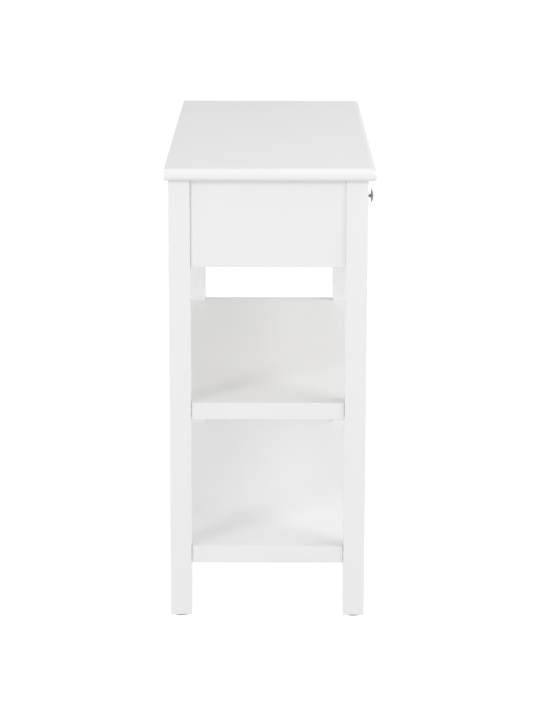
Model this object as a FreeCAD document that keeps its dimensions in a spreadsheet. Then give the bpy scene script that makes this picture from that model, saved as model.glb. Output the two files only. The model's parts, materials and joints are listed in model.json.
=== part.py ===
import FreeCAD, Part

import math
import os

import Sketcher

# Console table with two drawers and two open shelves, in millimetres.
# The origin is on the floor under the middle of the table: +X runs to the right end, +Y to the back, +Z up.
# Two glued end frames (two legs, a side apron and two shelf end rails each) are joined by long rails with
# dowels and cam fittings. The two drawers run on wooden runners in grooves in their sides.

doc = FreeCAD.newDocument("console_table")

# ---------------------------------------------------------------- driving dimensions

DIMENSIONS = [
    ("top_length", 900, "top, end to end"),
    ("top_depth", 340, "top, front to back"),
    ("top_thickness", 20, "top board"),
    ("total_height", 750, "floor to top"),
    ("upper_round", 12, "radius of the top's upper edge"),
    ("lower_round", 6, "radius of the top's lower edge"),
    ("end_overhang", 14, "top past the legs at each end"),
    ("front_overhang", 14, "top past the front legs"),
    ("rear_overhang", 6, "top past the rear legs"),
    ("leg_width", 35, "square leg"),
    ("leg_ease", 1.5, "rounding of the legs' long edges"),
    ("edge_ease", 1, "rounding of the boards' visible edges"),
    ("glide_height", 2, "glide between foot and floor"),
    ("glide_diameter", 30, "glide"),
    ("glide_nail_diameter", 3, "glide's nail"),
    ("glide_nail_length", 16, "glide's nail"),
    ("apron_height", 142, "apron band under the top"),
    ("apron_thickness", 15, "side and back aprons"),
    ("panel_setback", 5, "aprons and shelf rails behind the legs' faces"),
    ("front_setback", 2, "drawer fronts and front rail behind the legs' faces"),
    ("front_rail_height", 20, "rail under the drawers"),
    ("front_thickness", 18, "front rail, stile and drawer fronts"),
    ("stile_width", 35, "upright between the drawers"),
    ("divider_thickness", 18, "partition between the drawers"),
    ("stretcher_thickness", 18, "flat rail and cleats under the top"),
    ("stretcher_width", 50, "flat rail under the top"),
    ("cleat_width", 18, "cleats under the top"),
    ("cleat_end_gap", 20, "rear cleat's ends short of the legs"),
    ("middle_shelf_top", 363, "floor to the middle shelf"),
    ("lower_shelf_top", 119, "floor to the lower shelf"),
    ("shelf_height", 28, "shelf rails"),
    ("shelf_rail_thickness", 18, "shelf rails"),
    ("shelf_panel_thickness", 12, "shelf panels"),
    ("rabbet_width", 8, "ledge that the shelf panel lies on"),
    ("panel_gap", 0.3, "clearance round the shelf panel"),
    ("batten_width", 40, "batten under the shelf panel"),
    ("drawer_gap", 2, "gap round each drawer front"),
    ("box_setin", 2, "drawer box inside the edges of its front"),
    ("box_lift", 4, "drawer box above the lower edge of its front"),
    ("box_top_gap", 8, "drawer box under the flat rail"),
    ("box_rear_gap", 15, "drawer box in front of the back apron"),
    ("box_wall", 12, "drawer sides and back"),
    ("hardboard", 3, "drawer bottom"),
    ("hardboard_slip", 0.2, "play of the bottom in its groove"),
    ("bottom_rise", 6, "groove for the bottom above the lower edge"),
    ("bottom_groove", 5, "depth of the groove for the bottom"),
    ("runner_height", 16, "runners"),
    ("runner_groove", 6, "depth of the runner groove"),
    ("runner_play", 0.5, "play of the runner, on each of its faces"),
    ("knob_reach", 19, "knob, from the drawer front to its tip"),
    ("knob_diameter", 22, "knob's head"),
    ("knob_foot_diameter", 9, "knob where it meets the front"),
    ("knob_foot_height", 1.5, "knob where it meets the front"),
    ("knob_neck_diameter", 5.4, "knob's neck"),
    ("knob_head_height", 3.9, "knob's head, from its flat back to its tip"),
    ("knob_rim", 1.4, "knob's rim, along its axis"),
    ("knob_thread_diameter", 3.6, "knob screw"),
    ("knob_thread_grip", 9, "knob screw inside the knob"),
    ("dowel_diameter", 8, "apron dowels"),
    ("dowel_length", 30, "apron dowels"),
    ("small_dowel_diameter", 6, "rail, divider and drawer dowels"),
    ("small_dowel_length", 24, "rail, divider and drawer dowels"),
    ("cam_diameter", 12, "cam lock"),
    ("cam_depth", 11, "cam lock"),
    ("cam_setback", 24, "cam's centre from the rail's end"),
    ("cam_bolt_level", 6, "cam bolt's axis from the face that takes the cam"),
    ("cam_bolt_diameter", 6, "cam bolt's thread and head"),
    ("cam_bolt_collar", 7, "cam bolt's collar, and its bore in the rail"),
    ("cam_bolt_neck", 4, "cam bolt between collar and head"),
    ("cam_bolt_thread", 11, "cam bolt in the leg"),
    ("cam_bolt_head", 3, "cam bolt's head, along its axis"),
    ("screw_diameter", 4, "wood screw"),
    ("screw_head_diameter", 8, "wood screw"),
    ("screw_bite", 10, "wood screw in the second piece"),
    ("thin_screw_diameter", 3, "panel and drawer screw"),
    ("thin_screw_head_diameter", 6, "panel and drawer screw"),
    ("thin_screw_bite", 8, "panel and drawer screw in the second piece"),
    ("bore_play", 0.1, "how much wider a bore is than what it takes"),
]

sheet = doc.addObject("Spreadsheet::Sheet", "dims")
for row, (alias, value, meaning) in enumerate(DIMENSIONS, start=1):
    sheet.set(f"A{row}", meaning)
    sheet.set(f"B{row}", str(value))
    sheet.setAlias(f"B{row}", alias)
doc.recompute()


class Cell(str):
    """A formula in the sheet's cells, put together with ordinary arithmetic."""

    def _join(self, sign, other, turned=False):
        left, right = (other, self) if turned else (self, other)
        return Cell(f"({left} {sign} {right})")

    def __add__(self, other):
        return self._join("+", other)

    def __radd__(self, other):
        return self._join("+", other, turned=True)

    def __sub__(self, other):
        return self._join("-", other)

    def __rsub__(self, other):
        return self._join("-", other, turned=True)

    def __mul__(self, other):
        return self._join("*", other)

    def __rmul__(self, other):
        return self._join("*", other, turned=True)

    def __truediv__(self, other):
        return self._join("/", other)

    def __neg__(self):
        return Cell(f"(0 - {self})")


class Dimensions:
    """Gives each cell of the sheet as a formula: size.leg_width is the cell leg_width."""

    def __getattr__(self, alias):
        return Cell(f"dims.{alias}")


size = Dimensions()


# ---------------------------------------------------------------- drawing

nodes = {}  # every sub-part, by its label
corners = {}  # where each body's own origin lies in the table's frame, as three formulas

ZERO = Cell("0")

ORIGIN_POINT = (-1, 1)
ORIGIN_LINES = {"DistanceX": -2, "DistanceY": -1}
SQUARE_TO = {"x": "YZ_Plane", "y": "XZ_Plane", "z": "XY_Plane"}
NORMAL_SIGN = {"x": 1, "y": -1, "z": 1}
OTHER_AXES = {"x": "yz", "y": "xz", "z": "xy"}
OPPOSITE = {"+": "-", "-": "+"}


def bind(thing, name, formula):
    thing.setExpression(name, str(formula))


def smaller(first, second):
    """The formula for the smaller of two sizes."""
    return Cell(f"min({first}; {second})")


def new_body(label, corner):
    """An empty body whose own origin lies at a corner or seat given in the table's frame."""
    body = doc.addObject("PartDesign::Body", label)
    body.Label = label
    for axis, place in zip("xyz", corner):
        bind(body, f"Placement.Base.{axis}", place)
    nodes[label] = body
    corners[label] = dict(zip("xyz", corner))
    return body


def sketch_on(body, axis, level=None):
    """A sketch on the body's origin plane square to an axis, moved along that axis to a level."""
    sketch = body.newObject("Sketcher::SketchObject", f"{body.Label}_sketch")
    plane = next(f for f in body.Origin.OriginFeatures if f.Role == SQUARE_TO[axis])
    sketch.AttachmentSupport = [(plane, "")]
    sketch.MapMode = "FlatFace"
    if level is not None:
        bind(sketch, "AttachmentOffset.Base.z", NORMAL_SIGN[axis] * level)
    return sketch


def pin(sketch, shape, point, across, up):
    """Holds one point of a sketch at its two distances from the sketch's origin."""
    for kind, distance in (("DistanceX", across), ("DistanceY", up)):
        if distance == 0:
            sketch.addConstraint(Sketcher.Constraint("PointOnObject", shape, point, ORIGIN_LINES[kind]))
            continue
        index = sketch.addConstraint(Sketcher.Constraint(kind, *ORIGIN_POINT, shape, point, 1))
        bind(sketch, f"Constraints[{index}]", distance)


def polygon(sketch, points):
    """A closed outline through points, each given as two distances from the sketch's origin."""
    count = len(points)
    turns = [2 * math.pi * k / count for k in range(count)]
    rough = [FreeCAD.Vector(math.cos(turn), math.sin(turn), 0) for turn in turns]
    lines = [sketch.addGeometry(Part.LineSegment(rough[k - 1], rough[k])) for k in range(count)]
    for k, (across, up) in enumerate(points):
        sketch.addConstraint(Sketcher.Constraint("Coincident", lines[k], 2, lines[(k + 1) % count], 1))
        pin(sketch, lines[k], 2, across, up)


def circle(sketch, across, up, diameter):
    shape = sketch.addGeometry(Part.Circle(FreeCAD.Vector(1, 1, 0), FreeCAD.Vector(0, 0, 1), 1))
    pin(sketch, shape, 3, across, up)
    index = sketch.addConstraint(Sketcher.Constraint("Diameter", shape, 1))
    bind(sketch, f"Constraints[{index}]", diameter)


def prism(label, corner, axis, outline, length):
    """A piece with one section along an axis; the outline is drawn from the corner."""
    body = new_body(label, corner)
    sketch = sketch_on(body, axis)
    polygon(sketch, outline)
    pad = body.newObject("PartDesign::Pad", f"{label}_pad")
    pad.Profile = sketch
    pad.Reversed = NORMAL_SIGN[axis] < 0
    bind(pad, "Length", length)
    return body


def board(label, corner, extent):
    """A plain board from its low corner."""
    wide, deep, tall = extent
    return prism(label, corner, "z", [(0, 0), (wide, 0), (wide, deep), (0, deep)], tall)


def turned(label, seat, profile):
    """A piece turned about its own Y axis; the profile is (radius, distance along -Y) from the seat."""
    body = new_body(label, seat)
    sketch = sketch_on(body, "z")
    polygon(sketch, [(radius, 0 if reach == 0 else -reach) for radius, reach in profile])
    spin = body.newObject("PartDesign::Revolution", f"{label}_turning")
    spin.Profile = sketch
    spin.ReferenceAxis = (sketch, ["V_Axis"])
    spin.Angle = 360
    return body


def round_edges(body, radius, wanted):
    """Fillets the edges of the body so far whose bounding box passes the test, in the body's own frame."""
    doc.recompute()
    base = body.Tip
    names = [f"Edge{k}" for k, edge in enumerate(base.Shape.Edges, start=1) if wanted(edge.BoundBox)]
    fillet = body.newObject("PartDesign::Fillet", f"{body.Label}_fillet")
    fillet.Base = (base, names)
    bind(fillet, "Radius", radius)


def inside(body, axis, place):
    """A place in the table's frame, as a distance from the body's own origin."""
    return place - corners[body.Label][axis]


def pocket(body, way, level, depth):
    """A pocket that starts at a level and goes a way such as +x; returns the sketch to draw it in."""
    sign, axis = way
    sketch = sketch_on(body, axis, inside(body, axis, level))
    cut = body.newObject("PartDesign::Pocket", f"{body.Label}_pocket")
    cut.Profile = sketch
    cut.Reversed = (sign == "+") == (NORMAL_SIGN[axis] > 0)
    bind(cut, "Length", depth)
    return sketch


def drill(body, way, level, centres, diameter, depth):
    """Blind bores from a level; the centres are in the table's frame."""
    sketch = pocket(body, way, level, depth)
    first, second = OTHER_AXES[way[1]]
    for across, up in centres:
        circle(sketch, inside(body, first, across), inside(body, second, up), diameter)


def groove(body, way, level, low, high, depth):
    """A rectangular groove from a level, between two corners in the table's frame."""
    first, second = OTHER_AXES[way[1]]
    left, right = (inside(body, first, place) for place in (low[0], high[0]))
    bottom, top = (inside(body, second, place) for place in (low[1], high[1]))
    sketch = pocket(body, way, level, depth)
    polygon(sketch, [(left, bottom), (right, bottom), (right, top), (left, top)])


def countersink(body, way, level, centres, screw):
    """Screw holes right through a piece, with countersinks at the level where the heads sit."""
    sign, axis = way
    sketch = sketch_on(body, axis, inside(body, axis, level))
    first, second = OTHER_AXES[axis]
    for across, up in centres:
        circle(sketch, inside(body, first, across), inside(body, second, up), screw["diameter"])
    doc.recompute()
    hole = body.newObject("PartDesign::Hole", f"{body.Label}_hole")
    hole.Profile = sketch
    doc.recompute()
    hole.ThreadType = "None"
    hole.DepthType = "ThroughAll"
    hole.DrillPoint = "Flat"
    hole.HoleCutType = "Countersink"
    hole.HoleCutCountersinkAngle = 90
    hole.Reversed = (sign == "+") == (NORMAL_SIGN[axis] > 0)
    bind(hole, "Diameter", screw["diameter"] + size.bore_play)
    bind(hole, "HoleCutDiameter", screw["head"] + size.bore_play)


# ---------------------------------------------------------------- fasteners

# Each kind of fastener is drawn once, along +Z from its own origin, and linked wherever one is fitted.

TURNS = {
    "+x": FreeCAD.Rotation(FreeCAD.Vector(0, 1, 0), 90),
    "-x": FreeCAD.Rotation(FreeCAD.Vector(0, 1, 0), -90),
    "+y": FreeCAD.Rotation(FreeCAD.Vector(1, 0, 0), -90),
    "-y": FreeCAD.Rotation(FreeCAD.Vector(1, 0, 0), 90),
    "+z": FreeCAD.Rotation(),
    "-z": FreeCAD.Rotation(FreeCAD.Vector(1, 0, 0), 180),
}


def fastener(name, profile):
    """A turned fastener; the profile is (radius, height along +Z)."""
    body = doc.addObject("PartDesign::Body", name)
    body.Label = name
    corners[name] = dict.fromkeys("xyz", ZERO)
    sketch = sketch_on(body, "y")
    polygon(sketch, profile)
    spin = body.newObject("PartDesign::Revolution", f"{name}_turning")
    spin.Profile = sketch
    spin.ReferenceAxis = (sketch, ["V_Axis"])
    spin.Angle = 360
    return body


def dowel(name, diameter, length):
    radius, half = diameter / 2, length / 2
    body = fastener(name, [(0, -half), (radius, -half), (radius, half), (0, half)])
    return {"body": body, "diameter": diameter, "length": length}


def wood_screw(name, through, bite, diameter, head):
    """A countersunk screw, as long as the piece that it passes through and its bite in the next one."""
    radius, length = diameter / 2, through + bite
    profile = [(0, 0), (head / 2, 0), (radius, (head - diameter) / 2)]
    profile += [(radius, length - diameter), (0, length)]
    body = fastener(name, profile)
    return {"body": body, "diameter": diameter, "head": head, "through": through, "bite": bite}


groups = {}  # every group of like fasteners: its label and the links in it


def fit(group, kind, way, centre):
    """Puts one more fastener in a group, at a centre in the table's frame."""
    links = groups.setdefault(group, [])
    link = doc.addObject("App::Link", f"{group}_{len(links) + 1}")
    link.LinkedObject = kind["body"]
    link.Placement = FreeCAD.Placement(FreeCAD.Vector(), TURNS[way])
    for axis in "xyz":
        bind(link, f"Placement.Base.{axis}", centre[axis])
    links.append(link)


def placed(axis, level, across, up):
    first, second = OTHER_AXES[axis]
    return {axis: level, first: across, second: up}


def dowel_joint(group, behind, ahead, way, level, centres, kind):
    """Dowels half in one piece and half in the next; the way runs from the first piece to the second."""
    sign, axis = way
    bore = kind["diameter"] + size.bore_play
    depth = kind["length"] / 2 + size.bore_play
    drill(behind, OPPOSITE[sign] + axis, level, centres, bore, depth)
    drill(ahead, way, level, centres, bore, depth)
    for across, up in centres:
        fit(group, kind, way, placed(axis, level, across, up))


def screw_joint(group, through, into, way, level, centres, kind):
    """Countersunk screws from the level of their heads, through one piece and into the next."""
    sign, axis = way
    countersink(through, way, level, centres, kind)
    far = level + kind["through"] if sign == "+" else level - kind["through"]
    drill(into, way, far, centres, kind["diameter"] + size.bore_play, kind["bite"] + size.bore_play)
    for across, up in centres:
        fit(group, kind, way, placed(axis, level, across, up))


apron_dowel = dowel("apron_dowel", size.dowel_diameter, size.dowel_length)
small_dowel = dowel("small_dowel", size.small_dowel_diameter, size.small_dowel_length)

thread = size.cam_bolt_diameter / 2
collar = size.cam_bolt_collar / 2
neck = size.cam_bolt_neck / 2
head_start = size.cam_setback - size.cam_bolt_head
cam_bolt_profile = [(0, -size.cam_bolt_thread), (thread, -size.cam_bolt_thread), (thread, 0), (collar, 0)]
cam_bolt_profile += [(collar, neck), (neck, neck), (neck, head_start), (thread, head_start)]
cam_bolt_profile += [(thread, size.cam_setback), (0, size.cam_setback)]
cam_bolt = {"body": fastener("cam_bolt", cam_bolt_profile)}

cam_radius = size.cam_diameter / 2
cam_profile = [(0, 0), (cam_radius, 0), (cam_radius, size.cam_depth), (0, size.cam_depth)]
cam_lock = {"body": fastener("cam_lock", cam_profile)}
cross_bore = size.cam_bolt_diameter + 2 * size.bore_play
drill(cam_lock["body"], "+x", -cam_radius, [(ZERO, size.cam_bolt_level)], cross_bore, size.cam_diameter)


def cam_joint(leg, rail, way, joint, cam_way, cam_face, line):
    """A cam bolt from a leg into a rail's end, and the cam in the rail that grips it.

    The bolt's way is +x or -x from the joint. The cam goes its own way, +z or +y, from its face of the
    rail; the line is where the bolt's axis lies on the remaining axis.
    """
    cam_axis = cam_way[1]
    line_axis = {"z": "y", "y": "z"}[cam_axis]
    bolt_place = {"x": joint, cam_axis: cam_face + size.cam_bolt_level, line_axis: line}
    bolt_centre = [(bolt_place["y"], bolt_place["z"])]
    play = size.bore_play
    backwards = OPPOSITE[way[0]] + "x"
    drill(leg, backwards, joint, bolt_centre, size.cam_bolt_diameter + play, size.cam_bolt_thread + play)
    drill(rail, way, joint, bolt_centre, size.cam_bolt_collar + play, size.cam_setback + play)
    fit("cam_bolts", cam_bolt, way, bolt_place)
    cam_middle = joint + size.cam_setback if way[0] == "+" else joint - size.cam_setback
    drill(rail, cam_way, cam_face, [(cam_middle, line)], size.cam_diameter + play, size.cam_depth + play)
    fit("cam_locks", cam_lock, cam_way, {"x": cam_middle, cam_axis: cam_face, line_axis: line})


# ---------------------------------------------------------------- lines that pieces share

knob_past_top = size.knob_reach - size.front_setback - size.front_overhang
TOP_REAR = (size.top_depth + knob_past_top) / 2
TOP_FRONT = TOP_REAR - size.top_depth
TOP_END = size.top_length / 2
UNDER_TOP = size.total_height - size.top_thickness

LEG_END = TOP_END - size.end_overhang
LEG_INNER = LEG_END - size.leg_width
LEGS_FRONT = TOP_FRONT + size.front_overhang
LEGS_REAR = TOP_REAR - size.rear_overhang
BETWEEN_FRONT = LEGS_FRONT + size.leg_width
BETWEEN_REAR = LEGS_REAR - size.leg_width
BETWEEN_LEGS = BETWEEN_REAR - BETWEEN_FRONT

APRON_LOW = UNDER_TOP - size.apron_height
APRON_INNER = LEG_END - size.panel_setback - size.apron_thickness
BACK_INNER = LEGS_REAR - size.panel_setback - size.apron_thickness
FRONT_FACE = LEGS_FRONT + size.front_setback
FRONT_REAR = FRONT_FACE + size.front_thickness
RAIL_TOP = APRON_LOW + size.front_rail_height
STRETCHER_LOW = UNDER_TOP - size.stretcher_thickness
STRETCHER_REAR = BETWEEN_FRONT + size.stretcher_width

SIDES = ("left", "right")


def at_side(side, distance):
    """The X of a plane at a distance from the middle of the table."""
    return -distance if side == "left" else distance


def low_side(side, inner, thickness):
    """The low X of a piece whose inner face stands at a distance from the middle of the table."""
    return at_side(side, inner + thickness if side == "left" else inner)


def outward(side):
    return "-x" if side == "left" else "+x"


def inward(side):
    return "+x" if side == "left" else "-x"


# ---------------------------------------------------------------- tabletop

TOP_EXTENT = (size.top_length, size.top_depth, size.top_thickness)
tabletop = board("tabletop", (-TOP_END, TOP_FRONT, UNDER_TOP), TOP_EXTENT)


def rounded_side(box):
    """The long edge at the front and the two end edges, not the rear edge or an upright corner."""
    return box.ZLength < 1e-6 and (box.YLength > 1e-6 or box.YMax < 1e-6)


# The two radii leave a flat of at least a tenth of the board between them.
upper_round = smaller(size.upper_round, size.top_thickness * 0.6)
lower_round = smaller(size.lower_round, size.top_thickness * 0.3)
round_edges(tabletop, upper_round, lambda box: rounded_side(box) and box.ZMin > 1e-6)
round_edges(tabletop, lower_round, lambda box: rounded_side(box) and box.ZMax < 1e-6)

# ---------------------------------------------------------------- legs and glides

legs = {}
for side in SIDES:
    for end, low in (("front", LEGS_FRONT), ("rear", BETWEEN_REAR)):
        corner = (low_side(side, LEG_INNER, size.leg_width), low, size.glide_height)
        extent = (size.leg_width, size.leg_width, UNDER_TOP - size.glide_height)
        leg = board(f"{end}_{side}_leg", corner, extent)
        round_edges(leg, size.leg_ease, lambda box: box.ZLength > 1)
        legs[end, side] = leg

nail = size.glide_nail_diameter / 2
disc = size.glide_diameter / 2
disc_ease = size.glide_height / 4
glide_profile = [(0, 0), (disc - disc_ease, 0), (disc, disc_ease), (disc, size.glide_height)]
glide_profile += [(nail, size.glide_height), (nail, size.glide_height + size.glide_nail_length)]
glide_profile += [(0, size.glide_height + size.glide_nail_length)]
glide = {"body": fastener("glide", glide_profile)}
for (end, side), leg in legs.items():
    middle_x = low_side(side, LEG_INNER, size.leg_width) + size.leg_width / 2
    middle_y = (LEGS_FRONT if end == "front" else BETWEEN_REAR) + size.leg_width / 2
    bore = size.glide_nail_diameter + size.bore_play
    depth = size.glide_nail_length + size.bore_play
    drill(leg, "+z", size.glide_height, [(middle_x, middle_y)], bore, depth)
    fit("leg_glides", glide, "+z", {"x": middle_x, "y": middle_y, "z": ZERO})

# ---------------------------------------------------------------- apron band

side_aprons = {}
for side in SIDES:
    corner = (low_side(side, APRON_INNER, size.apron_thickness), BETWEEN_FRONT, APRON_LOW)
    extent = (size.apron_thickness, BETWEEN_LEGS, size.apron_height)
    apron = board(f"{side}_side_apron", corner, extent)
    side_aprons[side] = apron
    line = low_side(side, APRON_INNER, size.apron_thickness) + size.apron_thickness / 2
    centres = [(line, APRON_LOW + size.apron_height * share / 6) for share in (1, 3, 5)]
    for way, end, joint in (("-y", "front", BETWEEN_FRONT), ("+y", "rear", BETWEEN_REAR)):
        dowel_joint("end_frame_dowels", apron, legs[end, side], way, joint, centres, apron_dowel)

back_corner = (-LEG_INNER, BACK_INNER, APRON_LOW)
back_apron = board("back_apron", back_corner, (2 * LEG_INNER, size.apron_thickness, size.apron_height))
rail_corner = (-LEG_INNER, FRONT_FACE, APRON_LOW)
rail_extent = (2 * LEG_INNER, size.front_thickness, size.front_rail_height)
front_rail = board("front_bottom_rail", rail_corner, rail_extent)
stretcher_corner = (-APRON_INNER, BETWEEN_FRONT, STRETCHER_LOW)
stretcher_extent = (2 * APRON_INNER, size.stretcher_width, size.stretcher_thickness)
stretcher = board("front_top_stretcher", stretcher_corner, stretcher_extent)
stile_corner = (-size.stile_width / 2, FRONT_FACE, RAIL_TOP)
stile_extent = (size.stile_width, size.front_thickness, UNDER_TOP - RAIL_TOP)
stile = board("centre_stile", stile_corner, stile_extent)
divider_corner = (-size.divider_thickness / 2, FRONT_REAR, APRON_LOW)
divider_extent = (size.divider_thickness, BACK_INNER - FRONT_REAR, STRETCHER_LOW - APRON_LOW)
divider = board("centre_divider", divider_corner, divider_extent)

round_edges(front_rail, size.edge_ease, lambda box: box.XLength > 1 and box.YMax < 1e-6)

rail_line = FRONT_FACE + size.front_thickness / 2
back_line = BACK_INNER + size.apron_thickness / 2
stretcher_line = UNDER_TOP - size.stretcher_thickness / 2
stretcher_quarters = [BETWEEN_FRONT + size.stretcher_width * share / 4 for share in (1, 3)]
for side in SIDES:
    joint = at_side(side, LEG_INNER)
    front_leg, rear_leg = legs["front", side], legs["rear", side]
    cam_joint(front_leg, front_rail, inward(side), joint, "+z", APRON_LOW, rail_line)
    centres = [(rail_line, RAIL_TOP - size.front_rail_height / 4)]
    dowel_joint("long_rail_dowels", front_rail, front_leg, outward(side), joint, centres, small_dowel)
    for share in (1, 5):
        height = APRON_LOW + size.apron_height * share / 6
        cam_joint(rear_leg, back_apron, inward(side), joint, "+y", BACK_INNER, height)
    centres = [(back_line, APRON_LOW + size.apron_height * share / 6) for share in (2, 4)]
    dowel_joint("long_rail_dowels", back_apron, rear_leg, outward(side), joint, centres, small_dowel)
    joint = at_side(side, APRON_INNER)
    centres = [(line, stretcher_line) for line in stretcher_quarters]
    dowel_joint("long_rail_dowels", stretcher, side_aprons[side], outward(side), joint, centres, small_dowel)

stile_dowels = [(size.stile_width * share, rail_line) for share in (-0.25, 0.25)]
dowel_joint("divider_dowels", stile, front_rail, "-z", RAIL_TOP, stile_dowels, small_dowel)
high_dowels = [(ZERO, RAIL_TOP + (STRETCHER_LOW - RAIL_TOP) * share / 4) for share in (1, 3)]
dowel_joint("divider_dowels", stile, divider, "+y", FRONT_REAR, high_dowels, small_dowel)
low_dowel = [(ZERO, APRON_LOW + size.front_rail_height / 2)]
dowel_joint("divider_dowels", front_rail, divider, "+y", FRONT_REAR, low_dowel, small_dowel)
dowel_joint("divider_dowels", divider, back_apron, "+y", BACK_INNER, high_dowels, small_dowel)
top_dowels = [(ZERO, line) for line in stretcher_quarters]
dowel_joint("divider_dowels", divider, stretcher, "+z", STRETCHER_LOW, top_dowels, small_dowel)

# ---------------------------------------------------------------- cleats that hold the top

wood_gauge = (size.screw_diameter, size.screw_head_diameter)
thin_gauge = (size.thin_screw_diameter, size.thin_screw_head_diameter)
top_screw = wood_screw("top_screw", size.stretcher_thickness, size.screw_bite, *wood_gauge)
cleat_screw = wood_screw("cleat_screw", size.cleat_width, size.screw_bite, *wood_gauge)

cleat_length = BETWEEN_REAR - STRETCHER_REAR
cleat_inner = APRON_INNER - size.cleat_width
for side in SIDES:
    corner = (low_side(side, cleat_inner, size.cleat_width), STRETCHER_REAR, STRETCHER_LOW)
    cleat = board(f"{side}_top_cleat", corner, (size.cleat_width, cleat_length, size.stretcher_thickness))
    line = corner[0] + size.cleat_width / 2
    up_screws = [(line, STRETCHER_REAR + cleat_length * share / 6) for share in (1, 5)]
    screw_joint("top_fixing_screws", cleat, tabletop, "+z", STRETCHER_LOW, up_screws, top_screw)
    cross_screws = [(STRETCHER_REAR + cleat_length * share / 6, stretcher_line) for share in (2, 4)]
    head = at_side(side, cleat_inner)
    screw_joint("cleat_screws", cleat, side_aprons[side], outward(side), head, cross_screws, cleat_screw)

rear_half = LEG_INNER - size.cleat_end_gap
rear_cleat_front = BACK_INNER - size.cleat_width
rear_extent = (2 * rear_half, size.cleat_width, size.stretcher_thickness)
rear_cleat = board("rear_top_cleat", (-rear_half, rear_cleat_front, STRETCHER_LOW), rear_extent)
cross_screws = [(rear_half * share, stretcher_line) for share in (-0.5, 0.1, 0.5)]
screw_joint("cleat_screws", rear_cleat, back_apron, "+y", rear_cleat_front, cross_screws, cleat_screw)
for piece, line in (
    (rear_cleat, BACK_INNER - size.cleat_width / 2),
    (stretcher, BETWEEN_FRONT + size.stretcher_width / 2),
):
    up_screws = [(rear_half * share, line) for share in (-0.75, -0.25, 0.25, 0.75)]
    screw_joint("top_fixing_screws", piece, tabletop, "+z", STRETCHER_LOW, up_screws, top_screw)

# ---------------------------------------------------------------- shelves

ledge_height = size.shelf_height - size.shelf_panel_thickness
panel_screw = wood_screw("panel_screw", ledge_height, size.thin_screw_bite, *thin_gauge)


def ledge_outline(ledge_first):
    """A shelf rail's section: one of its upper corners is cut away for the panel to lie in."""
    wide, tall = size.shelf_rail_thickness, size.shelf_height
    if ledge_first:
        step = size.rabbet_width
        return [(0, 0), (wide, 0), (wide, tall), (step, tall), (step, ledge_height), (0, ledge_height)]
    step = wide - size.rabbet_width
    return [(0, 0), (wide, 0), (wide, ledge_height), (step, ledge_height), (step, tall), (0, tall)]


def shelf(name, top):
    """One shelf: four rails between the legs, a panel let into them, and a batten under the panel."""
    low = top - size.shelf_height
    rail = size.shelf_rail_thickness
    web = rail - size.rabbet_width
    front_outer = LEGS_FRONT + size.panel_setback
    rear_outer = LEGS_REAR - size.panel_setback
    end_outer = LEG_END - size.panel_setback
    upper_dowel = top - size.shelf_panel_thickness / 2
    lower_dowel = low + size.shelf_height / 4

    long_rails = (
        # end, low Y, middle line, dowel line, ledge line, ledge first
        ("front", front_outer, front_outer + rail / 2, front_outer + web / 2, front_outer + web, False),
        ("rear", rear_outer - rail, rear_outer - rail / 2, rear_outer - web / 2, rear_outer - rail, True),
    )
    ledged = []
    for end, low_y, middle, dowel_line, ledge_edge, ledge_first in long_rails:
        corner = (-LEG_INNER, low_y, low)
        piece = prism(f"{name}_{end}_rail", corner, "x", ledge_outline(ledge_first), 2 * LEG_INNER)
        for side in SIDES:
            leg, joint = legs[end, side], at_side(side, LEG_INNER)
            cam_joint(leg, piece, inward(side), joint, "+z", low, middle)
            centres = [(dowel_line, upper_dowel)]
            dowel_joint("long_rail_dowels", piece, leg, outward(side), joint, centres, small_dowel)
        ledge_line = ledge_edge + size.rabbet_width / 2
        ledged.append((piece, [(LEG_INNER * share, ledge_line) for share in (-0.6, 0.02, 0.6)]))
    for side in SIDES:
        corner = (low_side(side, end_outer - rail, rail), BETWEEN_FRONT, low)
        piece = prism(f"{name}_{side}_end_rail", corner, "y", ledge_outline(side == "right"), BETWEEN_LEGS)
        centres = [(at_side(side, end_outer - web / 2), height) for height in (lower_dowel, upper_dowel)]
        for way, end, joint in (("-y", "front", BETWEEN_FRONT), ("+y", "rear", BETWEEN_REAR)):
            dowel_joint("end_frame_dowels", piece, legs[end, side], way, joint, centres, small_dowel)
        ledge_line = at_side(side, end_outer - rail + size.rabbet_width / 2)
        ledged.append((piece, [(ledge_line, BETWEEN_FRONT + BETWEEN_LEGS * share) for share in (0.3, 0.7)]))

    # The panel is a rectangle inside the rails' ledges, with its corners cut out round the legs.
    half = end_outer - web - size.panel_gap
    front = front_outer + web + size.panel_gap
    wide, deep = 2 * half, rear_outer - web - size.panel_gap - front
    notch = half - (LEG_INNER - size.panel_gap)
    front_step = BETWEEN_FRONT + size.panel_gap - front
    rear_step = BETWEEN_REAR - size.panel_gap - front
    outline = [(notch, 0), (wide - notch, 0), (wide - notch, front_step), (wide, front_step)]
    outline += [(wide, rear_step), (wide - notch, rear_step), (wide - notch, deep), (notch, deep)]
    outline += [(notch, rear_step), (0, rear_step), (0, front_step), (notch, front_step)]
    corner = (-half, front, low + ledge_height)
    panel = prism(f"{name}_panel", corner, "z", outline, size.shelf_panel_thickness)
    for piece, centres in ledged:
        screw_joint("shelf_panel_screws", piece, panel, "+z", low, centres, panel_screw)

    batten_corner = (-size.batten_width / 2, front_outer + rail, low)
    batten_extent = (size.batten_width, rear_outer - front_outer - 2 * rail, ledge_height)
    board(f"{name}_batten", batten_corner, batten_extent)


shelf("middle_shelf", size.middle_shelf_top)
shelf("lower_shelf", size.lower_shelf_top)

# ---------------------------------------------------------------- drawers and their runners

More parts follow.
